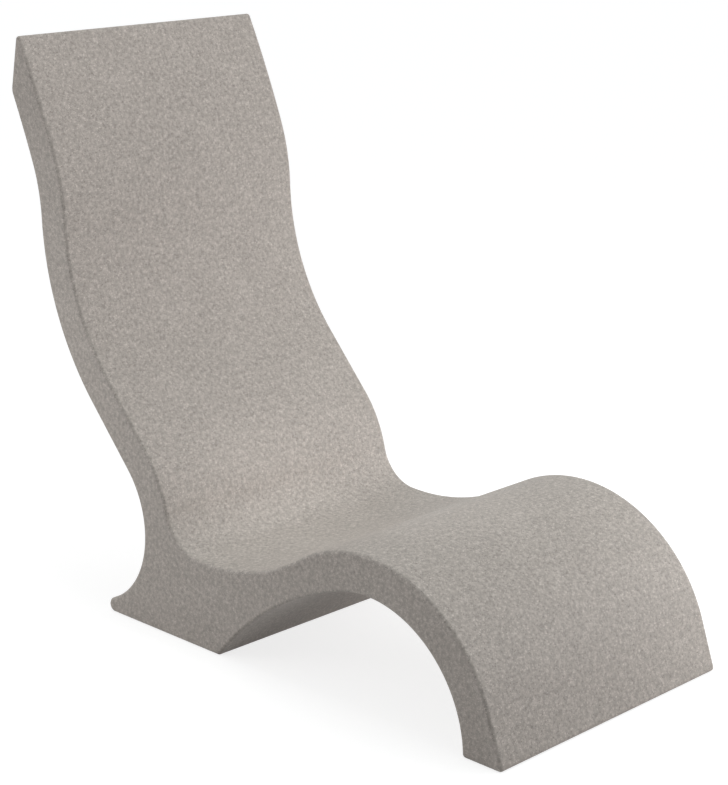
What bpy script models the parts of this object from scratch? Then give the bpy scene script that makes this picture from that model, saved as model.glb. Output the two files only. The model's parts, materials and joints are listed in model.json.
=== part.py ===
"""In-pool sun lounger: one hollow moulded body and three ballast ports.

The body is a board of constant thickness that runs in a wave from the front
foot over the knee, through the seat and up the backrest. It stands on that
foot and on a flared rear foot, with an open arch between them. Each port has a
threaded metal insert moulded into the wall, a flat gasket and a screw plug.

Metres, +Z up. X runs across the seat, the foot end faces -Y, and the origin is
on the floor under the middle of the outline.
"""

import math
from collections import namedtuple

import bmesh
import bpy
from mathutils import Vector

# Clearance between pieces that touch, cutter overrun, distance at which points are one,
# and the angle up to which faces are shaded smooth
GAP = 0.0003
OVERRUN = 0.004
SAME_POINT = 0.00001
SMOOTH_ANGLE = 32.0

# Body: overall sizes
WIDTH = 0.570
BOARD_THICKNESS = 0.0715
WALL = 0.005

# Body: the line that the sitter lies on, from the floor at the front foot upward
SHIN_ANGLE = 71.1
SHIN_LENGTH = 0.095
KNEE_RADIUS = 0.290
KNEE_TURN = 104.2
THIGH_RADIUS = 0.440
THIGH_TURN = 36.8
SEAT_RADIUS = 0.084
SEAT_TURN = 73.3
LUMBAR_RADIUS = 0.240
LUMBAR_TURN = 29.0
BACK_STRAIGHT = 0.148
SHOULDER_RADIUS = 0.440
SHOULDER_TURN = 40.3
NECK_RADIUS = 0.380
NECK_TURN = 19.5
HEAD_RADIUS = 2.200
HEAD_TURN = 6.13

# Body: headrest end, rear foot and arch
HEAD_CUT_LEAN = 11.75
HEAD_BACK_RADIUS = 0.025
HEEL_REACH = 0.105
HEEL_RADIUS = 0.014
REAR_FOOT_LENGTH = 0.3095
ARCH_RADIUS = 0.655

# Body: rounding of its long edges, of its cavity, and what a corner has beyond them
EDGE_RADIUS = 0.006
EDGE_STEPS = 3
CAVITY_RADIUS = 0.004
CAVITY_STEPS = 2
CORNER_MARGIN = 0.0005

# Body: longest facet of its arcs, and how far one may turn on a bend and on a corner
FACET_LENGTH = 0.020
BEND_FACET_TURN = 7.0
CORNER_FACET_TURN = 24.0

# Ports: pipe thread of the three-quarter inch size, its lead and its turns
THREAD_RADIUS = 0.0132
THREAD_LEAD = 0.001814
THREAD_TURNS = 7

# Ports: insert, with a hexagon flange at each end of a round waist
INSERT_LENGTH = 0.016
INSERT_FLAT_RADIUS = 0.0165
INSERT_WAIST_RADIUS = 0.015
INSERT_FLANGE = 0.0045

# Ports: gasket and plug
GASKET_THICKNESS = 0.0025
GASKET_WIDTH = 0.004
PLUG_HEAD_RADIUS = 0.0185
PLUG_HEAD_HEIGHT = 0.006
PLUG_RIM_ROUND = 0.0015
PLUG_TIP_CHAMFER = 0.001
PLUG_WALL = 0.003
COIN_SLOT_LENGTH = 0.028
COIN_SLOT_WIDTH = 0.003
COIN_SLOT_DEPTH = 0.0035
COIN_SLOT_STEPS = 8

# Ports: pocket in the wall with an eased rim, and the boss that stands into the cavity
# round it and starts at this share of the wall's depth
POCKET_CLEARANCE = 0.0015
POCKET_RIM = 0.002
PLUG_SETBACK = 0.0005
BOSS_CHAMFER = 0.0015
BOSS_SINK_SHARE = 0.25
ROUND_STEPS = 30

# Ports: how far the axes rise from level, on the back of the foot and inside the leg
HEEL_PORT_RISE = 32.0
TOE_PORT_RISE = -17.0

# Worked out from the sizes above
GASKET_OUTER_RADIUS = THREAD_RADIUS + GAP + GASKET_WIDTH
POCKET_RADIUS = PLUG_HEAD_RADIUS + POCKET_CLEARANCE
POCKET_FLOOR = -(PLUG_SETBACK + PLUG_HEAD_HEIGHT + GASKET_THICKNESS + 2 * GAP)
INSERT_END = POCKET_FLOOR - INSERT_LENGTH
PLUG_TIP = POCKET_FLOOR - THREAD_TURNS * THREAD_LEAD

Arc = namedtuple("Arc", "centre radius start end")


def material(name, colour, roughness, metallic=0.0):
    """A Principled material with one plain finish."""
    made = bpy.data.materials.new(name)
    made.use_nodes = True
    shader = made.node_tree.nodes["Principled BSDF"]
    shader.inputs["Base Color"].default_value = (*colour, 1.0)
    shader.inputs["Roughness"].default_value = roughness
    shader.inputs["Metallic"].default_value = metallic
    return made


def object_from(bm, name, finish=None, parent=None):
    """Turns a bmesh into a named object, shaded smooth up to its sharp edges."""
    bmesh.ops.recalc_face_normals(bm, faces=bm.faces)
    mesh = bpy.data.meshes.new(name)
    bm.to_mesh(mesh)
    bm.free()
    mesh.shade_smooth()
    mesh.set_sharp_from_angle(angle=math.radians(SMOOTH_ANGLE))
    made = bpy.data.objects.new(name, mesh)
    made.parent = parent
    if finish:
        mesh.materials.append(finish)
    bpy.context.scene.collection.objects.link(made)
    return made


def combine(target, tool, operation):
    """Leaves a Boolean on the target and takes its tool out of the finished model."""
    tool.hide_render = True
    tool.display_type = "WIRE"
    step = target.modifiers.new(tool.name, "BOOLEAN")
    step.operation = operation
    step.solver = "EXACT"
    step.object = tool


def direction(angle):
    """Unit vector of a heading in the side view, whose x is Y and whose y is Z."""
    return Vector((math.cos(angle), math.sin(angle)))


def left_of(angle):
    """Unit vector to the left of a heading, which points out of the body."""
    return Vector((-math.sin(angle), math.cos(angle)))


def arc(centre, radius, start, end):
    """An arc from one heading to another: left round its centre, or right if minus."""
    if radius > 0:
        turn = (end - start) % math.tau
    else:
        turn = -((start - end) % math.tau)
    return Arc(centre, radius, start, start + turn)


def point_on(bend, angle):
    """The point of an arc where it has this heading."""
    return bend.centre - bend.radius * left_of(angle)


def heading_at(bend, point):
    """The heading of an arc at the foot of a point that lies beside it."""
    outward = (bend.centre - point) * math.copysign(1, bend.radius)
    return math.atan2(-outward.x, outward.y)


def sitter_arcs():
    """The bends of the sitter's side, from the knee to the headrest's end."""
    angle = math.radians(SHIN_ANGLE)
    point = SHIN_LENGTH * direction(angle)
    bends = (
        (KNEE_RADIUS, -KNEE_TURN, 0),
        (THIGH_RADIUS, THIGH_TURN, 0),
        (SEAT_RADIUS, SEAT_TURN, 0),
        (LUMBAR_RADIUS, -LUMBAR_TURN, BACK_STRAIGHT),
        (SHOULDER_RADIUS, SHOULDER_TURN, 0),
        (NECK_RADIUS, -NECK_TURN, 0),
        (HEAD_RADIUS, -HEAD_TURN, 0),
    )
    made = []
    for radius, turn, straight in bends:
        side = math.copysign(radius, turn)
        made.append(Arc(point + side * left_of(angle), side, angle, angle + math.radians(turn)))
        angle = made[-1].end
        point = point_on(made[-1], angle) + straight * direction(angle)
    return made


def other_face(bend):
    """The same bend on the board's far face, walked the other way."""
    radius = -(bend.radius + BOARD_THICKNESS)
    return Arc(bend.centre, radius, bend.end + math.pi, bend.start + math.pi)


def corner_centre(point, angle, bend, radius, side):
    """Centre of a corner's round inside the body, touching a line and an arc.

    The line passes the arc's circle twice: side -1 takes the first corner along
    its heading, and side 1 the second.
    """
    start = point - radius * left_of(angle)
    offset = bend.centre - start
    reach = math.sqrt((bend.radius + radius) ** 2 - offset.dot(left_of(angle)) ** 2)
    return start + (offset.dot(direction(angle)) + side * reach) * direction(angle)


def arc_to_line(point, angle, bend, radius, side):
    """Trims an arc at the line that follows it, and returns it with the corner."""
    centre = corner_centre(point, angle, bend, radius, side)
    meeting = heading_at(bend, centre)
    return arc(bend.centre, bend.radius, bend.start, meeting), arc(centre, -radius, meeting, angle)


def line_to_arc(point, angle, bend, radius, side):
    """Returns the corner between a line and the arc after it, and the trimmed arc."""
    centre = corner_centre(point, angle, bend, radius, side)
    meeting = heading_at(bend, centre)
    return arc(centre, -radius, angle, meeting), arc(bend.centre, bend.radius, meeting, bend.end)


def heel_arcs(start_point, start_angle):
    """The sweep from the backrest to the heel, and the heel's round end.

    The sweep leaves the backrest smoothly and touches the circle of the heel.
    """
    heel_centre = Vector((start_point.x + HEEL_REACH - HEEL_RADIUS, HEEL_RADIUS))
    chord = start_point - heel_centre
    outward = left_of(start_angle)
    radius = (chord.length_squared - HEEL_RADIUS**2) / (2 * (HEEL_RADIUS - chord.dot(outward)))
    sweep_centre = start_point + radius * outward
    meeting = heading_at(Arc(sweep_centre, radius, 0, 0), heel_centre)
    sweep = arc(sweep_centre, radius, start_angle, meeting)
    return sweep, arc(heel_centre, -HEEL_RADIUS, meeting, math.pi)


def arch_arcs(knee, corner):
    """The arch from the rear foot to the inside of the front leg, untrimmed."""
    inside = arc(knee.centre, KNEE_RADIUS - BOARD_THICKNESS, 0, -math.pi / 2)
    between = ARCH_RADIUS - inside.radius
    to_corner = corner - knee.centre
    span = to_corner.length
    share = (span**2 + between**2 - ARCH_RADIUS**2) / (2 * span * between)
    bearing = math.atan2(to_corner.y, to_corner.x) - math.acos(share)
    centre = knee.centre + between * direction(bearing)
    meeting = bearing - math.pi / 2
    arch = arc(centre, ARCH_RADIUS, heading_at(Arc(centre, ARCH_RADIUS, 0, 0), corner), meeting)
    return arch, arc(inside.centre, inside.radius, meeting, -math.pi / 2)


def body_arcs(corner_radius):
    """All arcs of the body's outline by name, clockwise from the front toe.

    Straight stretches join the end of one arc to the start of the next. Corners
    have the given radius, and the front toe's sharp corner is at zero.
    """
    toe_angle = math.radians(SHIN_ANGLE)
    toe_reach = corner_radius * math.tan((math.pi - toe_angle) / 2)
    toe_centre = Vector((toe_reach, corner_radius))
    arcs = {"toe": arc(toe_centre, -corner_radius, math.pi, toe_angle)}

    knee, thigh, seat, lumbar, shoulder, neck, head = sitter_arcs()
    arcs.update(knee=knee, thigh=thigh, seat=seat, lumbar=lumbar, shoulder=shoulder, neck=neck)

    cut_angle = math.radians(HEAD_CUT_LEAN) - math.pi / 2
    tip = point_on(head, head.end)
    back_radius = max(HEAD_BACK_RADIUS, corner_radius)
    arcs["head"], arcs["tip"] = arc_to_line(tip, cut_angle, head, corner_radius, -1)
    arcs["head_corner"], arcs["head_back"] = line_to_arc(
        tip, cut_angle, other_face(head), back_radius, -1
    )
    arcs["neck_back"] = other_face(neck)
    arcs["shoulder_back"] = other_face(shoulder)
    arcs["lumbar_back"] = other_face(lumbar)

    lumbar_foot = point_on(arcs["lumbar_back"], arcs["lumbar_back"].end)
    arcs["sweep"], arcs["heel"] = heel_arcs(lumbar_foot, arcs["lumbar_back"].end)

    heel_end = arcs["heel"].centre.x + HEEL_RADIUS
    corner = Vector((heel_end - REAR_FOOT_LENGTH, 0))
    arch, inside = arch_arcs(knee, corner)
    arcs["arch_corner"], arcs["arch"] = line_to_arc(corner, math.pi, arch, corner_radius, -1)
    arcs["inside"], arcs["leg_corner"] = arc_to_line(corner, math.pi, inside, corner_radius, 1)
    return arcs


def stations(arcs):
    """Points along the outline, each with its heading."""
    made = []
    for bend in arcs.values():
        turn = bend.end - bend.start
        facet_turn = CORNER_FACET_TURN if is_corner(bend) else BEND_FACET_TURN
        by_length = abs(turn * bend.radius) / FACET_LENGTH
        by_turn = abs(math.degrees(turn)) / facet_turn
        steps = math.ceil(max(by_length, by_turn))
        first = 0 if follows_straight(made, bend) else 1
        for step in range(first, steps + 1):
            angle = bend.start + turn * step / steps
            made.append((point_on(bend, angle), angle))
    return made


def is_corner(bend):
    """Whether an arc is the small round of a corner."""
    return -FACET_LENGTH < bend.radius < 0


def follows_straight(made, bend):
    """Whether a straight stretch, not the arc before, leads to this arc."""
    return not made or (made[-1][0] - point_on(bend, bend.start)).length > SAME_POINT


def loft(sections, ring=False):
    """A closed solid through sections that have equally many points each.

    As a ring, its last section joins the first, and otherwise both get a cap.
    """
    bm = bmesh.new()
    rows = [[bm.verts.new(point) for point in section] for section in sections]
    followers = rows[1:] + rows[:1] if ring else rows[1:]
    for row, other in zip(rows, followers):
        for step in range(len(row)):
            bm.faces.new((row[step - 1], row[step], other[step], other[step - 1]))
    if not ring:
        bm.faces.new(rows[0])
        bm.faces.new(rows[-1])
    return bm


def body_solid(corner_radius, wall, edge_radius, edge_steps, middle):
    """The outline across the width, set in by a wall, with rounded long edges."""
    outline = stations(body_arcs(corner_radius))
    rounds = []
    for step in range(edge_steps + 1):
        turn = math.pi / 2 * step / edge_steps
        across = WIDTH / 2 - wall - edge_radius * (1 - math.cos(turn))
        inset = wall + edge_radius * (1 - math.sin(turn))
        rounds.append((across, inset))
    slices = [(-across, inset) for across, inset in rounds] + rounds[::-1]
    sections = []
    for across, inset in slices:
        points = [point - inset * left_of(angle) for point, angle in outline]
        sections.append([Vector((across, point.x - middle, point.y)) for point in points])
    return loft(sections)


def round_section(radius, height):
    """A ring of points round a port's axis."""
    turns = [math.tau * step / ROUND_STEPS for step in range(ROUND_STEPS)]
    return [Vector((radius * math.cos(turn), radius * math.sin(turn), height)) for turn in turns]


def hexagon_section(flat_radius, height):
    """A hexagon of as many points as a ring, its flats at the given radius."""
    side = math.tau / 6
    made = []
    for point in round_section(flat_radius, height):
        past_middle = (math.atan2(point.y, point.x) + side / 2) % side - side / 2
        made.append(Vector((point.x, point.y, 0)) / math.cos(past_middle) + Vector((0, 0, height)))
    return made


def insert_sections(clearance):
    """The insert's outside, from the pocket's floor to its inner end."""
    flat = INSERT_FLAT_RADIUS + clearance
    waist = INSERT_WAIST_RADIUS + clearance
    flange = INSERT_FLANGE + clearance
    return [
        hexagon_section(flat, POCKET_FLOOR),
        hexagon_section(flat, POCKET_FLOOR - flange),
        round_section(waist, POCKET_FLOOR - flange),
        round_section(waist, INSERT_END + flange),
        hexagon_section(flat, INSERT_END + flange),
        hexagon_section(flat, INSERT_END),
    ]


def insert_solid():
    """The threaded insert with its bore at the thread's outer size."""
    bore = THREAD_RADIUS + GAP
    inside = [round_section(bore, INSERT_END), round_section(bore, POCKET_FLOOR)]
    return loft(insert_sections(0) + inside, ring=True)


def gasket_solid():
    """A flat ring on the pocket's floor."""
    low = POCKET_FLOOR + GAP
    high = low + GASKET_THICKNESS
    bore = THREAD_RADIUS + GAP
    return loft(
        [
            round_section(GASKET_OUTER_RADIUS, high),
            round_section(GASKET_OUTER_RADIUS, low),
            round_section(bore, low),
            round_section(bore, high),
        ],
        ring=True,
    )


def plug_solid():
    """A cap with a rounded rim on a hollow shank, which is open at its tip."""
    under_head = -PLUG_SETBACK - PLUG_HEAD_HEIGHT
    hollow = THREAD_RADIUS - PLUG_WALL
    rim = PLUG_HEAD_RADIUS - PLUG_RIM_ROUND
    shoulder = -PLUG_SETBACK - PLUG_RIM_ROUND
    halfway = PLUG_RIM_ROUND * math.cos(math.pi / 4)
    return loft(
        [
            round_section(hollow, under_head),
            round_section(hollow, PLUG_TIP),
            round_section(THREAD_RADIUS - PLUG_TIP_CHAMFER, PLUG_TIP),
            round_section(THREAD_RADIUS, PLUG_TIP + PLUG_TIP_CHAMFER),
            round_section(THREAD_RADIUS, under_head),
            round_section(PLUG_HEAD_RADIUS, under_head),
            round_section(PLUG_HEAD_RADIUS, shoulder),
            round_section(rim + halfway, shoulder + halfway),
            round_section(rim, -PLUG_SETBACK),
        ]
    )


def coin_slot_cutter():
    """A slot across the plug's head, with its floor curved like a coin's edge."""
    top = -PLUG_SETBACK
    half = COIN_SLOT_LENGTH / 2
    radius = (half**2 + COIN_SLOT_DEPTH**2) / (2 * COIN_SLOT_DEPTH)
    half_turn = math.asin(half / radius)
    outline = [(-half, OVERRUN)]
    for step in range(COIN_SLOT_STEPS + 1):
        turn = half_turn * (2 * step / COIN_SLOT_STEPS - 1)
        floor = top - COIN_SLOT_DEPTH + radius * (1 - math.cos(turn))
        outline.append((radius * math.sin(turn), floor))
    outline.append((half, OVERRUN))
    sides = (-COIN_SLOT_WIDTH / 2, COIN_SLOT_WIDTH / 2)
    return loft([[Vector((x, y, z)) for x, z in outline] for y in sides])


def boss_solid():
    """The thick wall round a pocket and its insert, standing into the cavity."""
    radius = POCKET_RADIUS + WALL
    return loft(
        [
            round_section(radius, -WALL * BOSS_SINK_SHARE),
            round_section(radius, INSERT_END + BOSS_CHAMFER),
            round_section(radius - BOSS_CHAMFER, INSERT_END),
        ]
    )


def port_cutter():
    """The pocket for the plug's head, and the space that the insert fills."""
    pocket = [
        round_section(POCKET_RADIUS + POCKET_RIM + OVERRUN, OVERRUN),
        round_section(POCKET_RADIUS, -POCKET_RIM),
        round_section(POCKET_RADIUS, POCKET_FLOOR),
    ]
    end = hexagon_section(INSERT_FLAT_RADIUS + GAP, INSERT_END - OVERRUN)
    return loft(pocket + insert_sections(GAP) + [end])


def add_port(name, body, bend, angle, middle, finishes):
    """One port on an arc of the outline, where that arc has the given heading."""
    place = point_on(bend, angle)
    port = bpy.data.objects.new(f"{name}_port", None)
    port.location = (0, place.x - middle, place.y)
    port.rotation_euler.x = angle
    bpy.context.scene.collection.objects.link(port)

    combine(body, object_from(boss_solid(), f"{name}_port_boss", parent=port), "UNION")
    combine(body, object_from(port_cutter(), f"{name}_port_space", parent=port), "DIFFERENCE")
    object_from(insert_solid(), f"{name}_port_insert", finishes["brass"], port)
    object_from(gasket_solid(), f"{name}_port_gasket", finishes["rubber"], port)
    plug = object_from(plug_solid(), f"{name}_port_plug", finishes["plug"], port)
    combine(plug, object_from(coin_slot_cutter(), f"{name}_port_slot", parent=port), "DIFFERENCE")


def main():
    for item in list(bpy.data.objects):
        bpy.data.objects.remove(item)

    finishes = {
        "body": material("stone_plastic", (0.37, 0.35, 0.32), 0.60),
        "plug": material("plug_plastic", (0.30, 0.29, 0.27), 0.45),
        "rubber": material("gasket_rubber", (0.02, 0.02, 0.02), 0.80),
        "brass": material("insert_brass", (0.60, 0.44, 0.18), 0.35, 1.0),
    }

    outer_corner = EDGE_RADIUS + CORNER_MARGIN
    inner_corner = WALL + CAVITY_RADIUS + CORNER_MARGIN
    arcs = body_arcs(outer_corner)
    reach = [point.x for point, _ in stations(arcs)]
    middle = (min(reach) + max(reach)) / 2

    outside = body_solid(outer_corner, 0, EDGE_RADIUS, EDGE_STEPS, middle)
    body = object_from(outside, "lounger_body", finishes["body"])
    inside = body_solid(inner_corner, WALL, CAVITY_RADIUS, CAVITY_STEPS, middle)
    combine(body, object_from(inside, "body_cavity"), "DIFFERENCE")

    head_back = arcs["head_back"]
    head_angle = (head_back.start + head_back.end) / 2
    heel_angle = math.radians(HEEL_PORT_RISE) - math.pi / 2
    toe_angle = math.radians(TOE_PORT_RISE) - math.pi / 2
    add_port("head", body, head_back, head_angle, middle, finishes)
    add_port("heel", body, arcs["sweep"], heel_angle, middle, finishes)
    add_port("toe", body, arcs["inside"], toe_angle, middle, finishes)


main()
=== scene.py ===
# %% [markdown]
# # An in-pool sun lounger
#
# The lounger stands on the shallow shelf of a pool. It is one hollow piece of speckled
# plastic, cast in a turning mould, and three small ports let its water ballast in and
# out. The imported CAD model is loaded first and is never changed. Everything made here is
# put round it in the same frame: metres, +Z up, +Y from the foot to the headrest.

import json
import math
from collections import namedtuple

import bmesh
import bpy
from mathutils import Matrix, Vector

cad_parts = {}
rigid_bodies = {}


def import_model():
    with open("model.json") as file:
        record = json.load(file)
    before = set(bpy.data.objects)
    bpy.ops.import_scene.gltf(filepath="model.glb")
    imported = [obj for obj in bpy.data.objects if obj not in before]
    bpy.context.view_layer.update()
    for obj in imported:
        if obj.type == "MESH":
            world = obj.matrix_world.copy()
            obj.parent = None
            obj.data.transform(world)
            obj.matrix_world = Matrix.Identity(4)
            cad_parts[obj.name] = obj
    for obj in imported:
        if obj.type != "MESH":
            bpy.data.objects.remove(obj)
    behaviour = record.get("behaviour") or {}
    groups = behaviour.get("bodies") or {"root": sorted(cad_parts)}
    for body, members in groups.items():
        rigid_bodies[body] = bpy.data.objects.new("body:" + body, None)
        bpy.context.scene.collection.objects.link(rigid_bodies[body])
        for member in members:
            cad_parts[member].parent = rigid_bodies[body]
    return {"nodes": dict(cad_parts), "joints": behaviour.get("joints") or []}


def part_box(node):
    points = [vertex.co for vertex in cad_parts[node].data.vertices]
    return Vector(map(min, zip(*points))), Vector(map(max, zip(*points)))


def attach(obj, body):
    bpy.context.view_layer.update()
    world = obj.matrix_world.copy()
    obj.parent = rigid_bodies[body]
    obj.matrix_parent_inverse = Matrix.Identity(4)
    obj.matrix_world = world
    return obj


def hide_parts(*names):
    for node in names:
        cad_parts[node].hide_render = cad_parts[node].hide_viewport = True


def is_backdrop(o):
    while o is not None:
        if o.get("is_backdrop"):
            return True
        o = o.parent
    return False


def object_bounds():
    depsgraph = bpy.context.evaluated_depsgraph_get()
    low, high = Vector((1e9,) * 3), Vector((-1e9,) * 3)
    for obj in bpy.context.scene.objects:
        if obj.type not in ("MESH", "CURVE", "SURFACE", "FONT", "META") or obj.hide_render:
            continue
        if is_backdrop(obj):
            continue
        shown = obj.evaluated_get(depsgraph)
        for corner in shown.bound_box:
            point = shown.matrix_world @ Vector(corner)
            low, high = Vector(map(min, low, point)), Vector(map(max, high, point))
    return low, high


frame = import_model()
cad_box = [list(corner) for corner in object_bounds()]
print("CAD nodes:", sorted(frame["nodes"]))
print("CAD box in metres:", [[round(value, 4) for value in corner] for corner in cad_box])

# %% [markdown]
# ## The camera
#
# The photograph was taken from the front left and from above the headrest, with a long
# lens. The place, the tilt and the turn come from the perspective of the two feet and of
# the headrest, whose edges run parallel on the real lounger and draw together in the
# picture. A long lens far away keeps that convergence as gentle as it is there.

# %% Set up the camera
CAMERA_PLACE = Vector((-2.5838, -2.5826, 1.4909))
CAMERA_TILT_DOWN = math.radians(15.985)
CAMERA_TURN_RIGHT = math.radians(45.272)
CAMERA_LENS = 96.57

optics = bpy.data.cameras.new("photo_camera")
optics.sensor_fit = "VERTICAL"
optics.sensor_height = 36.0
optics.lens = CAMERA_LENS
camera = bpy.data.objects.new("photo_camera", optics)
camera.location = CAMERA_PLACE
camera.rotation_euler = (math.pi / 2 - CAMERA_TILT_DOWN, 0, -CAMERA_TURN_RIGHT)
bpy.context.scene.collection.objects.link(camera)
bpy.context.scene.camera = camera
print("camera", round(CAMERA_PLACE.length, 2), "m from the middle of the lounger's floor")

# %% [markdown]
# ## From a bmesh to a piece
#
# A bmesh is Blender's mesh on the workbench. When a piece is done, it becomes an object
# that sits at the origin, because the frame moves whole objects with their bodies. Edges
# sharper than a set angle stay crisp, and the others are shaded as one smooth surface.
# Holes and slots are cut with an exact Boolean that is applied at once. A Boolean leaves
# faces thinner than a hair where its cut runs past a vertex, so the finished piece is
# welded: points a few microns apart become one, faces without area go, and faces with
# many corners are split, so that no program that reads the mesh has to guess how.

# %% Finish a mesh and cut closed pieces
SMOOTH_UP_TO = math.radians(32)
SLIVER = 0.000005


def shade(mesh):
    """Shades a mesh smooth up to its sharp edges."""
    mesh.shade_smooth()
    mesh.set_sharp_from_angle(angle=SMOOTH_UP_TO)


def finished(bm, name):
    """Turns a bmesh into a named object with its faces outward."""
    bmesh.ops.recalc_face_normals(bm, faces=bm.faces)
    mesh = bpy.data.meshes.new(name)
    bm.to_mesh(mesh)
    bm.free()
    shade(mesh)
    piece = bpy.data.objects.new(name, mesh)
    bpy.context.scene.collection.objects.link(piece)
    return piece


def combine(piece, tool, operation):
    """Applies a Boolean to a piece and uses the tool up."""
    step = piece.modifiers.new("combine", "BOOLEAN")
    step.operation = operation
    step.solver = "EXACT"
    step.object = tool
    now = bpy.context.evaluated_depsgraph_get()
    mesh = bpy.data.meshes.new_from_object(piece.evaluated_get(now))
    piece.modifiers.clear()
    piece.data = mesh
    mesh.name = piece.name
    shade(mesh)
    bpy.data.objects.remove(tool)


def weld(piece):
    """Welds away the slivers of the cuts and counts the edges that are still open."""
    bm = bmesh.new()
    bm.from_mesh(piece.data)
    bmesh.ops.remove_doubles(bm, verts=bm.verts, dist=SLIVER)
    bmesh.ops.dissolve_degenerate(bm, edges=bm.edges, dist=SLIVER)
    bmesh.ops.triangulate(bm, faces=[face for face in bm.faces if len(face.verts) > 4])
    bmesh.ops.dissolve_degenerate(bm, edges=bm.edges, dist=SLIVER)
    still_open = sum(len(edge.link_faces) != 2 for edge in bm.edges)
    bm.to_mesh(piece.data)
    bm.free()
    shade(piece.data)
    return still_open


# %% [markdown]
# ## The outline as a list of bends
#
# Seen from the side, the lounger is a board of constant thickness that bends from the
# front foot over the knee, down into the seat and up the backrest. A maker would draw it
# as bends that run into each other, so each one here has a radius, a turn and a straight
# run after it. The board's back has the same centres with radii that differ by its
# thickness, and so it stays parallel to the front.

# %% The bends from the shin to the headrest
WIDTH = 0.570
BOARD_THICKNESS = 0.0715

SHIN_ANGLE = math.radians(71.1)
SHIN_LENGTH = 0.095
# Each bend has a name, a radius in metres, a turn in degrees and a straight run in metres.
BENDS = (
    ("knee", 0.290, -104.2, 0.0),
    ("thigh", 0.440, 36.8, 0.0),
    ("seat", 0.084, 73.3, 0.0),
    ("lumbar", 0.240, -29.0, 0.148),
    ("shoulder", 0.440, 40.3, 0.0),
    ("neck", 0.380, -19.5, 0.0),
    ("head", 2.200, -6.13, 0.0),
)

Bend = namedtuple("Bend", "centre radius start end")


def direction(heading):
    """Unit vector of a heading in the side view, where +Y is right and +Z is up."""
    return Vector((0, math.cos(heading), math.sin(heading)))


def left_of(heading):
    """Unit vector to the left of a heading, which points out of the lounger."""
    return Vector((0, -math.sin(heading), math.cos(heading)))


def place_on(bend, heading):
    """The place on a bend where it has this heading."""
    return bend.centre - bend.radius * left_of(heading)


def bends_from(place, heading):
    """The bends of the sitter's side by name, each starting where the last one ended."""
    made = {}
    for name, size, turn, run in BENDS:
        radius = math.copysign(size, turn)
        end = heading + math.radians(turn)
        made[name] = Bend(place + radius * left_of(heading), radius, heading, end)
        place = place_on(made[name], end) + run * direction(end)
        heading = end
    return made


def back_of(bend):
    """The same bend on the board's back, walked the other way."""
    radius = -(bend.radius + BOARD_THICKNESS)
    return Bend(bend.centre, radius, bend.end + math.pi, bend.start + math.pi)


sitter_side = bends_from(SHIN_LENGTH * direction(SHIN_ANGLE), SHIN_ANGLE)
print("the backrest leans", round(math.degrees(sitter_side["lumbar"].end)), "degrees from level")

# %% [markdown]
# ## Feet, arch and corners
#
# The rest of the outline follows from how it touches what is there already. The back of
# the rear foot leaves the backrest smoothly and lands on the small round of the heel. The
# arch starts at the front corner of that foot and runs into the inside of the knee. Every
# corner is a little round that touches a straight line and a bend. Each of these circles
# has only one place, which comes from distances between centres.

# %% Sizes of the headrest's end, the feet and the corners
HEAD_CUT = math.radians(11.75 - 90)
HEAD_BACK_RADIUS = 0.025
HEEL_REACH = 0.105
HEEL_RADIUS = 0.014
REAR_FOOT_LENGTH = 0.3095
ARCH_RADIUS = 0.655
CORNER_RADIUS = 0.0065


# %% Circles that touch
def turning(centre, radius, start, end):
    """A bend from one heading to another: to the left, or to the right if minus."""
    turn = (end - start) % math.tau if radius > 0 else -((start - end) % math.tau)
    return Bend(centre, radius, start, start + turn)


def heading_beside(bend, place):
    """The heading of a bend at its nearest point to a place."""
    out = (bend.centre - place) * math.copysign(1, bend.radius)
    return math.atan2(-out.y, out.z)


def corner_centre(place, heading, bend, radius, side):
    """Centre of a round that touches a line and a bend: the first (-1) or the second (1)."""
    start = place - radius * left_of(heading)
    offset = bend.centre - start
    reach = math.sqrt((bend.radius + radius) ** 2 - offset.dot(left_of(heading)) ** 2)
    return start + (offset.dot(direction(heading)) + side * reach) * direction(heading)


def bend_then_line(bend, place, heading, radius, side):
    """A bend cut short by the corner that leads to a line, and that corner."""
    centre = corner_centre(place, heading, bend, radius, side)
    meeting = heading_beside(bend, centre)
    trimmed = turning(bend.centre, bend.radius, bend.start, meeting)
    return trimmed, turning(centre, -radius, meeting, heading)


def line_then_bend(place, heading, bend, radius, side):
    """The corner that leads from a line to a bend, and that bend without its start."""
    centre = corner_centre(place, heading, bend, radius, side)
    meeting = heading_beside(bend, centre)
    trimmed = turning(bend.centre, bend.radius, meeting, bend.end)
    return turning(centre, -radius, heading, meeting), trimmed


# %% Close the outline round the headrest, the rear foot and the arch
def headrest_end(head):
    """The front of the headrest, its tip, its lower corner and its back."""
    tip = place_on(head, head.end)
    front, tip_round = bend_then_line(head, tip, HEAD_CUT, CORNER_RADIUS, -1)
    corner, back = line_then_bend(tip, HEAD_CUT, back_of(head), HEAD_BACK_RADIUS, -1)
    return front, tip_round, corner, back


def rear_foot(lumbar_back):
    """The sweep out of the backrest and the round of the heel."""
    start = place_on(lumbar_back, lumbar_back.end)
    outward = left_of(lumbar_back.end)
    heel = Vector((0, start.y + HEEL_REACH - HEEL_RADIUS, HEEL_RADIUS))
    chord = start - heel
    radius = (chord.length_squared - HEEL_RADIUS**2) / (2 * (HEEL_RADIUS - chord.dot(outward)))
    centre = start + radius * outward
    meeting = heading_beside(Bend(centre, radius, 0, 0), heel)
    sweep = turning(centre, radius, lumbar_back.end, meeting)
    return sweep, turning(heel, -HEEL_RADIUS, meeting, math.pi)


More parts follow.
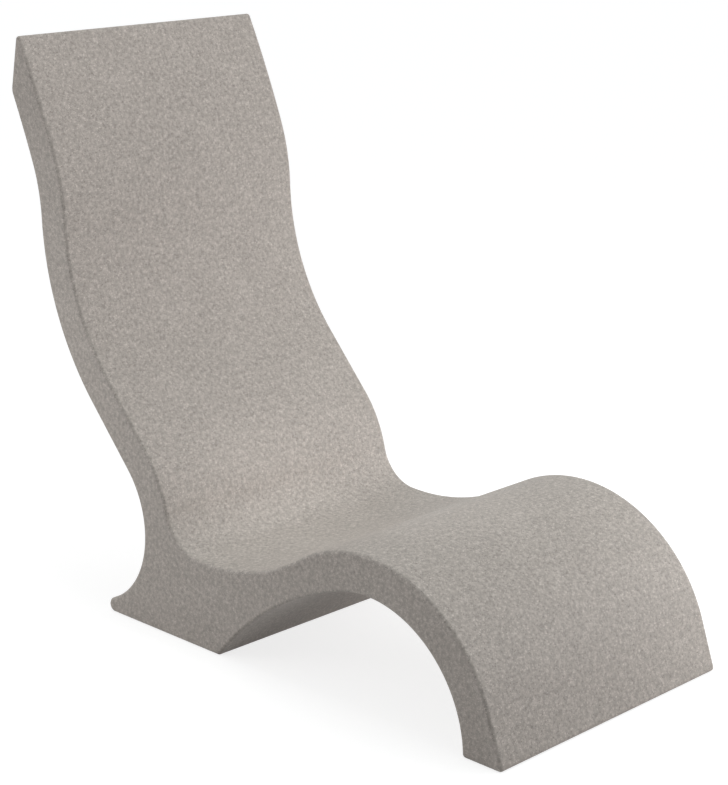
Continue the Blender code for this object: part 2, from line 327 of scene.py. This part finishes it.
def arch_and_leg(knee, corner):
    """The foot's front corner, the arch, the inside of the knee and the leg's corner."""
    level = math.pi
    inside = turning(knee.centre, -knee.radius - BOARD_THICKNESS, 0, -math.pi / 2)
    between = ARCH_RADIUS - inside.radius
    span = corner - knee.centre
    share = (span.length**2 + between**2 - ARCH_RADIUS**2) / (2 * span.length * between)
    bearing = math.atan2(span.z, span.y) - math.acos(share)
    centre = knee.centre + between * direction(bearing)
    arch = turning(centre, ARCH_RADIUS, level, bearing - math.pi / 2)
    inside = turning(inside.centre, inside.radius, arch.end, -math.pi / 2)
    foot_round, arch = line_then_bend(corner, level, arch, CORNER_RADIUS, -1)
    inside, leg_round = bend_then_line(inside, corner, level, CORNER_RADIUS, 1)
    return foot_round, arch, inside, leg_round


knee, thigh, seat, lumbar, shoulder, neck, head = sitter_side.values()
toe_reach = CORNER_RADIUS * math.tan((math.pi - SHIN_ANGLE) / 2)
toe = turning(Vector((0, toe_reach, CORNER_RADIUS)), -CORNER_RADIUS, math.pi, SHIN_ANGLE)
sweep, heel = rear_foot(back_of(lumbar))
foot_corner = Vector((0, heel.centre.y + HEEL_RADIUS - REAR_FOOT_LENGTH, 0))
outline = (
    [toe, knee, thigh, seat, lumbar, shoulder, neck, *headrest_end(head)]
    + [back_of(neck), back_of(shoulder), back_of(lumbar), sweep, heel]
    + [*arch_and_leg(knee, foot_corner)]
)
print(len(outline), "bends; the back of the foot has a radius of", round(sweep.radius, 3), "m")

# %% [markdown]
# ## The moulded body
#
# The real body comes out of its mould in one piece, so this one is a single closed mesh.
# One vertex at a time is spun round the centre of its bend, and the spins leave a chain
# of edges. That chain becomes a face, the face is pulled out to the lounger's width, and
# a bevel rounds both rims as the mould does. Two thin strips of faces beside the rounding
# keep the big flat sides free of the smooth shading of their rims.

# %% Draw the outline with spins
FACET_TURN = math.radians(1.5)
LONGEST_FACET = 0.010
SHORTEST_FACET = 0.0012
SAME_PLACE = 0.00001


def facets(bend):
    """How many straight facets a bend gets: more where it is tight."""
    facet = min(max(abs(bend.radius) * FACET_TURN, SHORTEST_FACET), LONGEST_FACET)
    return math.ceil(abs(bend.radius * (bend.end - bend.start)) / facet)


def draw(bm, bends):
    """Draws the bends one after another as a closed chain of edges."""
    tip = None
    for bend in bends:
        start = bm.verts.new(place_on(bend, bend.start))
        if tip:
            bm.edges.new((tip, start))
        drawn = bmesh.ops.spin(
            bm,
            geom=[start],
            cent=bend.centre,
            axis=(1, 0, 0),
            angle=bend.end - bend.start,
            steps=facets(bend),
        )
        tip = drawn["geom_last"][0]
    bm.verts.ensure_lookup_table()
    bm.edges.new((tip, bm.verts[0]))
    bmesh.ops.remove_doubles(bm, verts=bm.verts, dist=SAME_PLACE)


# %% Pull the outline out to the width and round both rims
EDGE_RADIUS = 0.006
EDGE_SEGMENTS = 7
SIDE_STRIP = 0.0003
FRONT_STRIP = 0.0015
SQUARE_TO_X = 0.9999


def body_mesh():
    """The closed body with rounded rims, still with the tip of its toe at zero."""
    bm = bmesh.new()
    draw(bm, outline)
    bmesh.ops.translate(bm, verts=bm.verts, vec=(-WIDTH / 2, 0, 0))
    bmesh.ops.contextual_create(bm, geom=bm.edges[:])
    pulled = bmesh.ops.extrude_face_region(bm, geom=bm.faces[:])
    moved = [item for item in pulled["geom"] if isinstance(item, bmesh.types.BMVert)]
    bmesh.ops.translate(bm, verts=moved, vec=(WIDTH, 0, 0))
    bmesh.ops.recalc_face_normals(bm, faces=bm.faces)
    sides = [face for face in bm.faces if abs(face.normal.x) > SQUARE_TO_X]
    bmesh.ops.bevel(
        bm,
        geom=[edge for face in sides for edge in face.edges],
        offset=EDGE_RADIUS,
        offset_type="OFFSET",
        segments=EDGE_SEGMENTS,
        profile=0.5,
        affect="EDGES",
        clamp_overlap=False,
        material=-1,
    )
    return bm


def add_strips(bm):
    """Thin faces beside the rims, so that wide faces are shaded flat across."""
    sides = [face for face in bm.faces if abs(face.normal.x) > SQUARE_TO_X]
    bmesh.ops.inset_region(bm, faces=sides, thickness=SIDE_STRIP, use_even_offset=True)
    for side in (-1, 1):
        bmesh.ops.bisect_plane(
            bm,
            geom=bm.verts[:] + bm.edges[:] + bm.faces[:],
            dist=SAME_PLACE,
            plane_co=(side * (WIDTH / 2 - EDGE_RADIUS - FRONT_STRIP), 0, 0),
            plane_no=(side, 0, 0),
        )


bm = body_mesh()
add_strips(bm)
reach = [vert.co.y for vert in bm.verts]
bmesh.ops.translate(bm, verts=bm.verts, vec=(0, -(min(reach) + max(reach)) / 2, 0))
body = finished(bm, "lounger_shell")
low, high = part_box("lounger_body")
print("body:", len(body.data.polygons), "faces,", [round(x, 4) for x in body.dimensions], "m")
print("its CAD node:", [round(x, 4) for x in high - low], "m")

# %% [markdown]
# ## The ports
#
# A pool lounger weighs little until its hollow is filled, so it has screw plugs where
# water goes in and out: one behind the headrest, one at the back of the rear foot and one
# inside the leg. None of them shows in the photograph. Each plug sits in a round pocket
# with an eased rim, on a rubber ring, and screws into a brass insert that the plastic was
# moulded round. The frame's joints say where each one is and which way it comes out, so a
# tool is shaped upright at the origin once and then stood on its port. The tool for the
# pocket flares out above the rim, so that its own edge never marks the bent skin round it.

# %% Where the ports are
PORTS = ("head", "heel", "toe")


def port_place(port):
    """The matrix that stands a shape on a port, with its +Z out of the lounger."""
    joint = next(item for item in frame["joints"] if item["name"] == f"{port}_plug_turn")
    out = Vector(joint["axis"])
    tilt = math.atan2(-out.y, out.z)
    return Matrix.Translation(joint["pos_m"]) @ Matrix.Rotation(tilt, 4, "X")


for port in PORTS:
    print(port, "port at", [round(x, 3) for x in port_place(port).translation], "m")

# %% Turned shapes
ROUND_STEPS = 64
QUARTER_STEPS = 6


def turned(profile):
    """A profile of radius and height, spun once round the upright axis and closed."""
    bm = bmesh.new()
    verts = [bm.verts.new((radius, 0, height)) for radius, height in profile]
    edges = [bm.edges.new(pair) for pair in zip(verts, verts[1:])]
    bmesh.ops.spin(
        bm,
        geom=verts + edges,
        cent=(0, 0, 0),
        axis=(0, 0, 1),
        angle=math.tau,
        steps=ROUND_STEPS,
        use_merge=True,
    )
    bmesh.ops.remove_doubles(bm, verts=bm.verts, dist=SAME_PLACE)
    bmesh.ops.holes_fill(bm, edges=bm.edges)
    return bm


def quarter(radius, height, size):
    """Points of a quarter round about a centre, from level to straight up."""
    points = []
    for step in range(QUARTER_STEPS + 1):
        turn = math.radians(90 * step / QUARTER_STEPS)
        points.append((radius + size * math.cos(turn), height + size * math.sin(turn)))
    return points


# %% Sizes of a port
GAP = 0.0003
THREAD_RADIUS = 0.0132
THREAD_DEPTH = 0.0010
THREAD_LEAD = 0.001814
THREAD_TURNS = 7
INSERT_LENGTH = 0.016
INSERT_FLAT_RADIUS = 0.0165
INSERT_WAIST_RADIUS = 0.015
INSERT_FLANGE = 0.0045
GASKET_THICKNESS = 0.0025
PLUG_HEAD_RADIUS = 0.0185
PLUG_HEAD_HEIGHT = 0.006
PLUG_SETBACK = 0.0005
PLUG_RIM_ROUND = 0.0015
PLUG_WALL = 0.003
POCKET_CLEARANCE = 0.0015
POCKET_RIM = 0.002
ABOVE = 0.010

UNDER_HEAD = -PLUG_SETBACK - PLUG_HEAD_HEIGHT
POCKET_FLOOR = UNDER_HEAD - GASKET_THICKNESS - 2 * GAP
POCKET_RADIUS = PLUG_HEAD_RADIUS + POCKET_CLEARANCE
print("pocket radius and depth:", POCKET_RADIUS, round(-POCKET_FLOOR, 4), "m")


# %% Cut the pocket and the seat of the insert
def hexagon(flat_radius, low, high):
    """A hexagonal prism between two heights."""
    bm = bmesh.new()
    corner = flat_radius / math.cos(math.pi / 6)
    middle = Matrix.Translation((0, 0, (low + high) / 2))
    bmesh.ops.create_cone(
        bm,
        cap_ends=True,
        segments=6,
        radius1=corner,
        radius2=corner,
        depth=high - low,
        matrix=middle,
    )
    return bm


def pocket_tools():
    """The closed shapes that are taken out of the body at a port, the first with a flare."""
    rim = POCKET_RADIUS + POCKET_RIM
    eased = [(rim - size, height) for size, height in quarter(0, -POCKET_RIM, POCKET_RIM)]
    profile = [(0, ABOVE), (rim + ABOVE, ABOVE), *eased[::-1]]
    profile += [(POCKET_RADIUS, POCKET_FLOOR), (0, POCKET_FLOOR)]
    waist = INSERT_WAIST_RADIUS + GAP
    flat = INSERT_FLAT_RADIUS + GAP
    end = POCKET_FLOOR - INSERT_LENGTH - GAP
    flange = INSERT_FLANGE + GAP
    yield turned(profile)
    yield hexagon(flat, POCKET_FLOOR - flange, POCKET_FLOOR + GAP)
    yield turned([(0, POCKET_FLOOR), (waist, POCKET_FLOOR), (waist, end), (0, end)])
    yield hexagon(flat, end, end + flange)


for port in PORTS:
    for number, tool in enumerate(pocket_tools()):
        bmesh.ops.transform(tool, matrix=port_place(port), verts=tool.verts)
        combine(body, finished(tool, f"{port}_pocket_{number}"), "DIFFERENCE")
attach(body, "lounger")
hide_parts("lounger_body")
still_open = weld(body)
print("body with its pockets:", len(body.data.polygons), "faces,", still_open, "open edges")

# %% [markdown]
# ## The screw plugs
#
# Each plug is moulded in plastic: a flat cap with a rounded rim and a slot for a coin, and
# a hollow shank with a pipe thread. The thread is real here, because it shows when a plug
# is screwed out. One pitch of it is spun with a rise in each step, and since every turn
# ends where the next one starts, the turns weld into one surface. Two planes cut it to
# length. The slot is cut with the shape of a coin.

# %% Make a threaded plug
COIN_SLOT_LENGTH = 0.028
COIN_SLOT_WIDTH = 0.003
COIN_SLOT_DEPTH = 0.0035
COIN_STEPS = 4 * ROUND_STEPS
TIP_CHAMFER = 0.001
FLANK_UP = (0.15, 0.45)
FLANK_DOWN = (0.60, 0.90)
SPARE_TURNS = 2
ON_THE_CUT = SAME_PLACE / 10


def threaded_shank(low, high):
    """A closed rod with a right-handed thread between two heights."""
    bm = bmesh.new()
    root = THREAD_RADIUS - THREAD_DEPTH
    radii = (root, root, THREAD_RADIUS, THREAD_RADIUS, root, root)
    shares = (0, *FLANK_UP, *FLANK_DOWN, 1)
    start = low - SPARE_TURNS * THREAD_LEAD
    verts = []
    for radius, share in zip(radii, shares):
        verts.append(bm.verts.new((radius, 0, start + share * THREAD_LEAD)))
    edges = [bm.edges.new(pair) for pair in zip(verts, verts[1:])]
    turns = math.ceil((high - low) / THREAD_LEAD) + SPARE_TURNS + 1
    bmesh.ops.spin(
        bm,
        geom=verts + edges,
        cent=(0, 0, 0),
        axis=(0, 0, 1),
        dvec=(0, 0, THREAD_LEAD / ROUND_STEPS),
        angle=math.tau * turns,
        steps=ROUND_STEPS * turns,
    )
    bmesh.ops.remove_doubles(bm, verts=bm.verts, dist=SAME_PLACE)
    for height, side in ((low, -1), (high, 1)):
        bmesh.ops.bisect_plane(
            bm,
            geom=bm.verts[:] + bm.edges[:] + bm.faces[:],
            dist=ON_THE_CUT,
            plane_co=(0, 0, height),
            plane_no=(0, 0, side),
            clear_outer=True,
        )
    bmesh.ops.holes_fill(bm, edges=bm.edges)
    return bm


def plug_cap():
    """The cap: flat below, with a rounded rim above."""
    top = -PLUG_SETBACK
    rim = quarter(PLUG_HEAD_RADIUS - PLUG_RIM_ROUND, top - PLUG_RIM_ROUND, PLUG_RIM_ROUND)
    return turned([(0, UNDER_HEAD), (PLUG_HEAD_RADIUS, UNDER_HEAD), *rim, (0, top)])


def coin():
    """A coin on edge, sunk into the cap so far that it leaves the slot."""
    half = COIN_SLOT_LENGTH / 2
    radius = (half**2 + COIN_SLOT_DEPTH**2) / (2 * COIN_SLOT_DEPTH)
    bm = bmesh.new()
    place = Matrix.Translation((0, 0, radius - PLUG_SETBACK - COIN_SLOT_DEPTH))
    bmesh.ops.create_cone(
        bm,
        cap_ends=True,
        segments=COIN_STEPS,
        radius1=radius,
        radius2=radius,
        depth=COIN_SLOT_WIDTH,
        matrix=place @ Matrix.Rotation(math.pi / 2, 4, "X"),
    )
    return bm


def plug_piece(port):
    """One plug, shaped upright and then stood on its port."""
    tip = POCKET_FLOOR - THREAD_TURNS * THREAD_LEAD
    hollow = THREAD_RADIUS - PLUG_WALL
    cone = THREAD_RADIUS - TIP_CHAMFER
    past = tip - TIP_CHAMFER
    bore = [(0, UNDER_HEAD), (hollow, UNDER_HEAD), (hollow, past), (0, past)]
    outer = cone + ABOVE
    ring = [(cone, tip), (outer, tip + ABOVE), (outer, past), (cone - TIP_CHAMFER, past)]
    neck = [(0, UNDER_HEAD + GAP), (THREAD_RADIUS, UNDER_HEAD + GAP)]
    neck += [(THREAD_RADIUS, POCKET_FLOOR), (0, POCKET_FLOOR)]
    plug = finished(threaded_shank(tip, UNDER_HEAD - 2 * GAP), f"{port}_screw_plug")
    combine(plug, finished(turned(neck), "neck"), "UNION")
    combine(plug, finished(plug_cap(), "cap"), "UNION")
    combine(plug, finished(coin(), "coin"), "DIFFERENCE")
    combine(plug, finished(turned(bore), "bore"), "DIFFERENCE")
    combine(plug, finished(turned([*ring, ring[0]]), "ring"), "DIFFERENCE")
    print(plug.name, weld(plug), "open edges")
    plug.data.transform(port_place(port))
    return plug


plugs = {port: plug_piece(port) for port in PORTS}
for port, plug in plugs.items():
    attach(plug, f"{port}_plug")
    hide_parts(f"{port}_port_plug")
    size = [round(length, 4) for length in plug.dimensions]
    print(plug.name, len(plug.data.polygons), "faces,", size, "m")

# %% [markdown]
# ## Node materials
#
# Every finish here is procedural, which means that nodes compute it from the place of
# each point. Object coordinates are in metres, because each piece sits at the origin, so
# a scale of 150 gives a pattern with about 150 ups and downs in a metre. A handful of
# helpers keep the node trees short enough to read like recipes.

# %% Small steps in a node tree
def new_material(name):
    """A node material: itself, its tree, its shader and the place of each point."""
    made = bpy.data.materials.new(name)
    made.use_nodes = True
    tree = made.node_tree
    place = tree.nodes.new("ShaderNodeTexCoord").outputs["Object"]
    return made, tree, tree.nodes["Principled BSDF"], place


def combined(tree, operation, *values):
    """Numbers or node outputs added, multiplied and so on."""
    node = tree.nodes.new("ShaderNodeMath")
    node.operation = operation
    for socket, value in zip(node.inputs, values):
        if isinstance(value, (int, float)):
            socket.default_value = value
        else:
            tree.links.new(value, socket)
    return node.outputs["Value"]


def noise(tree, place, scale, detail=2.0):
    """A soft random pattern, moved from around 0.5 to around 0."""
    node = tree.nodes.new("ShaderNodeTexNoise")
    node.inputs["Scale"].default_value = scale
    node.inputs["Detail"].default_value = detail
    tree.links.new(place, node.inputs["Vector"])
    return combined(tree, "SUBTRACT", node.outputs["Fac"], 0.5)


def blend_of(tree, middle, *parts):
    """A middle value plus each pattern times its weight."""
    total = middle
    for pattern, weight in parts:
        total = combined(tree, "MULTIPLY_ADD", pattern, weight, total)
    return total


# %% From patterns to a finish
def shades(tree, factor, *colours):
    """A colour that runs evenly through the given ones as the factor goes from 0 to 1."""
    node = tree.nodes.new("ShaderNodeValToRGB")
    elements = node.color_ramp.elements
    while len(elements) < len(colours):
        elements.new(0.5)
    for number, colour in enumerate(colours):
        elements[number].position = number / (len(colours) - 1)
        elements[number].color = (*colour, 1)
    tree.links.new(factor, node.inputs["Fac"])
    return node.outputs["Color"]


def finish_surface(tree, shader, colour, roughness, height, distance):
    """Links the colour, the roughness and a bump whose height is in units of a distance."""
    node = tree.nodes.new("ShaderNodeBump")
    node.inputs["Distance"].default_value = distance
    tree.links.new(height, node.inputs["Height"])
    tree.links.new(node.outputs["Normal"], shader.inputs["Normal"])
    tree.links.new(colour, shader.inputs["Base Color"])
    tree.links.new(roughness, shader.inputs["Roughness"])


def dress(piece, material):
    """Gives a piece made here its material."""
    piece.data.materials.clear()
    piece.data.materials.append(material)


def redress(node, material):
    """Gives a CAD node a better material in the slots that it already has."""
    for slot in node.material_slots:
        slot.material = material


# %% [markdown]
# ## The speckled plastic of the body
#
# The body starts as a powder of several greys that melts onto the wall of a hot, turning
# mould. The grains keep their colours, so the surface is full of soft flecks a few
# millimetres across, and it comes out matt with a faint orange peel. The flecks are made
# of three layers: a noise for clouds of grains, small Voronoi cells for single grains with
# random tones, and larger cells of which only a few carry a pale fleck. A fourth, broad
# noise keeps large faces from looking printed.

# %% Make the speckled plastic
DARK_GRAIN = (0.232, 0.211, 0.193)
STONE_GREY = (0.448, 0.407, 0.370)
LIGHT_GRAIN = (0.728, 0.671, 0.619)
CLOUDS = 150
GRAINS = 380
FLECKS = 170
BROAD_PATCHES = 9
PEEL = 260
FINE_GRAIN = 1400
GRAIN_REACH = 0.55
FLECK_REACH = 0.32
SPOT_CORE = 0.35
PALE_TONES = (0.70, 0.80)
PEEL_HEIGHT = 0.0003


def between(tree, value, zero, one):
    """A smooth step that is 0 where the value reaches one bound and 1 at the other."""
    node = tree.nodes.new("ShaderNodeMapRange")
    node.interpolation_type = "SMOOTHSTEP"
    node.inputs["From Min"].default_value = zero
    node.inputs["From Max"].default_value = one
    tree.links.new(value, node.inputs["Value"])
    return node.outputs["Result"]


def grains_of(tree, place, scale, reach):
    """Voronoi grains: a random tone from 0 to 1, and a spot that fades out at a reach."""
    cells = tree.nodes.new("ShaderNodeTexVoronoi")
    cells.inputs["Scale"].default_value = scale
    tree.links.new(place, cells.inputs["Vector"])
    split = tree.nodes.new("ShaderNodeSeparateColor")
    tree.links.new(cells.outputs["Color"], split.inputs["Color"])
    spot = between(tree, cells.outputs["Distance"], reach, SPOT_CORE * reach)
    return split.outputs["Red"], spot


def speckled_plastic():
    """Matt grey plastic with soft light and dark grains."""
    made, tree, shader, place = new_material("speckled_plastic")
    shader.inputs["Specular IOR Level"].default_value = 0.3
    clouds = noise(tree, place, CLOUDS, 3.0)
    tone, spot = grains_of(tree, place, GRAINS, GRAIN_REACH)
    grains = combined(tree, "MULTIPLY", combined(tree, "SUBTRACT", tone, 0.5), spot)
    tone, spot = grains_of(tree, place, FLECKS, FLECK_REACH)
    flecks = combined(tree, "MULTIPLY", between(tree, tone, *PALE_TONES), spot)
    broad = noise(tree, place, BROAD_PATCHES)
    tone = blend_of(tree, 0.49, (clouds, 0.90), (grains, 0.80), (flecks, 0.26), (broad, 0.12))
    colour = shades(tree, tone, DARK_GRAIN, STONE_GREY, LIGHT_GRAIN)
    roughness = blend_of(tree, 0.60, (clouds, 0.20), (grains, 0.10))
    peel = noise(tree, place, PEEL)
    fine = noise(tree, place, FINE_GRAIN)
    height = blend_of(tree, 0.0, (peel, 1.0), (fine, 0.5))
    finish_surface(tree, shader, colour, roughness, height, PEEL_HEIGHT)
    return made


dress(body, speckled_plastic())
print(body.name, "wears", body.data.materials[0].name)

# %% [markdown]
# ## Finishes of the ports
#
# The plugs are moulded in a plain grey of the same family, a little darker and smoother.
# The rings below them are black rubber with a dull, dusty skin. The inserts are turned
# from brass bar, which leaves fine rings about the port's axis and a slight tarnish: for
# those rings a Mapping node carries each point back to the upright port at the origin,
# where the distance from the axis is a simple length.

# %% Make the plug, ring and insert finishes
PLUG_GREY = ((0.255, 0.237, 0.219), (0.345, 0.320, 0.297))
RUBBER_BLACK = ((0.016, 0.016, 0.017), (0.040, 0.040, 0.041))
TARNISHED_BRASS = ((0.41, 0.27, 0.10), (0.68, 0.48, 0.20))
PLUG_CLOUDS = 90
PLUG_GRAIN = 2200
DUST = 400
RUBBER_GRAIN = 1800
TARNISH = 240
TURNED_RINGS = 2600
FINE_RELIEF = 0.0001
RING_RELIEF = 0.00005


def plug_plastic():
    """Plain satin grey with a faint cloudiness."""
    made, tree, shader, place = new_material("satin_plug_plastic")
    cloudy = noise(tree, place, PLUG_CLOUDS, 4.0)
    grain = noise(tree, place, PLUG_GRAIN)
    colour = shades(tree, blend_of(tree, 0.5, (cloudy, 0.8), (grain, 0.5)), *PLUG_GREY)
    roughness = blend_of(tree, 0.42, (cloudy, 0.25))
    finish_surface(tree, shader, colour, roughness, grain, FINE_RELIEF)
    return made


def gasket_rubber():
    """Dull black rubber with a little dust on it."""
    made, tree, shader, place = new_material("dusty_rubber")
    dust = noise(tree, place, DUST, 4.0)
    colour = shades(tree, blend_of(tree, 0.5, (dust, 1.6)), *RUBBER_BLACK)
    roughness = blend_of(tree, 0.78, (dust, 0.4))
    grain = noise(tree, place, RUBBER_GRAIN)
    finish_surface(tree, shader, colour, roughness, grain, FINE_RELIEF)
    return made


def from_axis(tree, place, port):
    """The distance of each point from the axis of a port, in metres."""
    upright = port_place(port).inverted()
    mapping = tree.nodes.new("ShaderNodeMapping")
    mapping.inputs["Location"].default_value = upright.translation
    mapping.inputs["Rotation"].default_value = upright.to_euler()
    tree.links.new(place, mapping.inputs["Vector"])
    flat = tree.nodes.new("ShaderNodeVectorMath")
    flat.operation = "MULTIPLY"
    flat.inputs[1].default_value = (1, 1, 0)
    tree.links.new(mapping.outputs["Vector"], flat.inputs[0])
    length = tree.nodes.new("ShaderNodeVectorMath")
    length.operation = "LENGTH"
    tree.links.new(flat.outputs["Vector"], length.inputs[0])
    return length.outputs["Value"]


def turned_brass(port):
    """Brass with the rings of the lathe about a port's axis."""
    made, tree, shader, place = new_material(f"turned_brass_{port}")
    shader.inputs["Metallic"].default_value = 1.0
    rings = tree.nodes.new("ShaderNodeTexNoise")
    rings.noise_dimensions = "1D"
    rings.inputs["Scale"].default_value = TURNED_RINGS
    tree.links.new(from_axis(tree, place, port), rings.inputs["W"])
    ring = combined(tree, "SUBTRACT", rings.outputs["Fac"], 0.5)
    tarnish = noise(tree, place, TARNISH, 4.0)
    colour = shades(tree, blend_of(tree, 0.55, (tarnish, 1.5), (ring, 0.4)), *TARNISHED_BRASS)
    roughness = blend_of(tree, 0.33, (ring, 0.2), (tarnish, 0.3))
    finish_surface(tree, shader, colour, roughness, ring, RING_RELIEF)
    return made


satin = plug_plastic()
rubber = gasket_rubber()
for port, plug in plugs.items():
    gasket = frame["nodes"][f"{port}_port_gasket"]
    insert = frame["nodes"][f"{port}_port_insert"]
    dress(plug, satin)
    redress(gasket, rubber)
    redress(insert, turned_brass(port))
    print(port, "port wears", *[node.material_slots[0].name for node in (plug, gasket, insert)])

# %% [markdown]
# ## Floor, light and background
#
# The photo is a cut-out on white, lit as in a studio: the faces that look up are the
# palest, the long side is a step darker and the inside of the arch is darkest. A thin dark
# line runs down the rounded rim between the long side and the front, which tells that the
# light comes from both sides of the camera and hardly any from behind it. So the dome of
# light has a glow at the front right, another at the back left and a dim patch behind the
# camera. The dome is a shade warmer near the horizon than overhead, as the photo's side
# faces are. Soft panels overhead and on both sides add to it, and a narrow lamp brightens
# the hollow of the seat. The floor is pale and keeps the soft shadow under the feet. The
# camera sees plain white wherever there is nothing else, since its rays are told apart
# from the rays that carry light.

# %% Tell what the eye sees from what lights the scene
def eye_rays(tree):
    """1 for rays from the camera, mirrored or refracted ones, and 0 for all others."""
    path = tree.nodes.new("ShaderNodeLightPath").outputs
    total = combined(tree, "ADD", path["Is Camera Ray"], path["Is Glossy Ray"])
    total = combined(tree, "ADD", total, path["Is Transmission Ray"])
    return combined(tree, "MINIMUM", total, 1.0)


def mixed(tree, factor, first, second):
    """A mix of two shaders: the first where the factor is 0, the second where it is 1."""
    node = tree.nodes.new("ShaderNodeMixShader")
    tree.links.new(factor, node.inputs["Fac"])
    tree.links.new(first, node.inputs[1])
    tree.links.new(second, node.inputs[2])
    return node.outputs["Shader"]


# %% Build the dome of light
LOW_TINT = (1.0, 0.90, 0.93)
HIGH_TINT = (0.90, 1.0, 0.99)
DOME_BASE = 0.58
# Each glow has a direction, a sharpness and a strength.
DOME = (
    ((-1, -1, 0.2), 1, -0.58),
    ((1, -1, 0.2), 2, 0.77),
    ((-1, 1, 0.2), 2, 0.34),
)


def glow(tree, look, way, sharpness, strength):
    """A patch of light around one direction: the cosine to it, raised to a power."""
    dot = tree.nodes.new("ShaderNodeVectorMath")
    dot.operation = "DOT_PRODUCT"
    dot.inputs[1].default_value = Vector(way).normalized()
    tree.links.new(look, dot.inputs[0])
    toward = combined(tree, "MAXIMUM", dot.outputs["Value"], 0.0)
    return combined(tree, "MULTIPLY", combined(tree, "POWER", toward, sharpness), strength)


world = bpy.data.worlds.new("studio")
world.use_nodes = True
bpy.context.scene.world = world
tree = world.node_tree
look = tree.nodes.new("ShaderNodeTexCoord").outputs["Generated"]
strength = DOME_BASE
for way, sharpness, power in DOME:
    strength = combined(tree, "ADD", strength, glow(tree, look, way, sharpness, power))
dome = tree.nodes["Background"]
height = glow(tree, look, (0, 0, 1), 1, 1.0)
tree.links.new(shades(tree, height, LOW_TINT, HIGH_TINT), dome.inputs["Color"])
tree.links.new(strength, dome.inputs["Strength"])
backdrop = tree.nodes.new("ShaderNodeBackground")
backdrop.inputs["Color"].default_value = (1, 1, 1, 1)
seen = mixed(tree, eye_rays(tree), dome.outputs["Background"], backdrop.outputs["Background"])
tree.links.new(seen, tree.nodes["World Output"].inputs["Surface"])
print("dome of light:", len(DOME), "glows over a base of", DOME_BASE)

# %% Lay the floor
FLOOR_HALF = 15.0
FLOOR_ALBEDO = 0.6
SHADOW_DEPTH = 0.4
FLOOR_GLOW = 0.77

bm = bmesh.new()
bmesh.ops.create_grid(bm, x_segments=1, y_segments=1, size=FLOOR_HALF)
floor = finished(bm, "floor")
made, tree, shader, _ = new_material("pale_floor")
shader.inputs["Base Color"].default_value = (FLOOR_ALBEDO, FLOOR_ALBEDO, FLOOR_ALBEDO, 1)
shader.inputs["Roughness"].default_value = 1.0
shader.inputs["Specular IOR Level"].default_value = 0.0
pale = tree.nodes.new("ShaderNodeBsdfDiffuse")
pale.inputs["Color"].default_value = (SHADOW_DEPTH, SHADOW_DEPTH, SHADOW_DEPTH, 1)
glowing = tree.nodes.new("ShaderNodeEmission")
glowing.inputs["Strength"].default_value = FLOOR_GLOW
both = tree.nodes.new("ShaderNodeAddShader")
tree.links.new(pale.outputs["BSDF"], both.inputs[0])
tree.links.new(glowing.outputs["Emission"], both.inputs[1])
seen = mixed(tree, eye_rays(tree), shader.outputs["BSDF"], both.outputs["Shader"])
tree.links.new(seen, tree.nodes["Material Output"].inputs["Surface"])
dress(floor, made)
floor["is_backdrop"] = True
print("floor:", 2 * FLOOR_HALF, "m wide, at height 0")

# %% Hang the panels and the spot
# Each panel has a place, a point that it faces, a width in metres and its watts.
PANELS = {
    "top_panel": ((0, -0.2, 2.65), (0, 0, 0.35), 1.2, 11.0),
    "right_panel": ((0.8, -1.0, 0.45), (0, 0, 0.15), 0.6, 3.2),
    "left_panel": ((-1.2, 0.75, 0.55), (-0.2, 0.1, 0.3), 0.6, 2.7),
    "low_panel": ((1.3, -0.3, 0.3), (0, 0, 0.1), 0.5, 6.0),
}
SPOT_PLACE = (0.05, -0.95, 1.15)
SPOT_AIM = (-0.05, 0.10, 0.19)
SPOT_CONE = math.radians(22)
SPOT_SIZE = 0.15
SPOT_WATTS = 20.0


def hang(name, kind, place, aim, watts):
    """A lamp that the camera doesn't see, aimed at a point."""
    lamp = bpy.data.lights.new(name, kind)
    lamp.energy = watts
    holder = bpy.data.objects.new(name, lamp)
    holder.location = place
    holder.rotation_euler = (Vector(aim) - Vector(place)).to_track_quat("-Z", "Y").to_euler()
    holder.visible_camera = False
    bpy.context.scene.collection.objects.link(holder)
    print(name, "at", place, watts, "W")
    return lamp


for name, (place, aim, size, watts) in PANELS.items():
    hang(name, "AREA", place, aim, watts).size = size
spot = hang("seat_spot", "SPOT", SPOT_PLACE, SPOT_AIM, SPOT_WATTS)
spot.spot_size = SPOT_CONE
spot.spot_blend = 1.0
spot.shadow_soft_size = SPOT_SIZE
bpy.context.scene.view_settings.view_transform = "Standard"

# %% Measure and print the size of what is shown
visual_box = [list(corner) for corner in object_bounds()]
print("visual box in metres:", [[round(value, 4) for value in corner] for corner in visual_box])
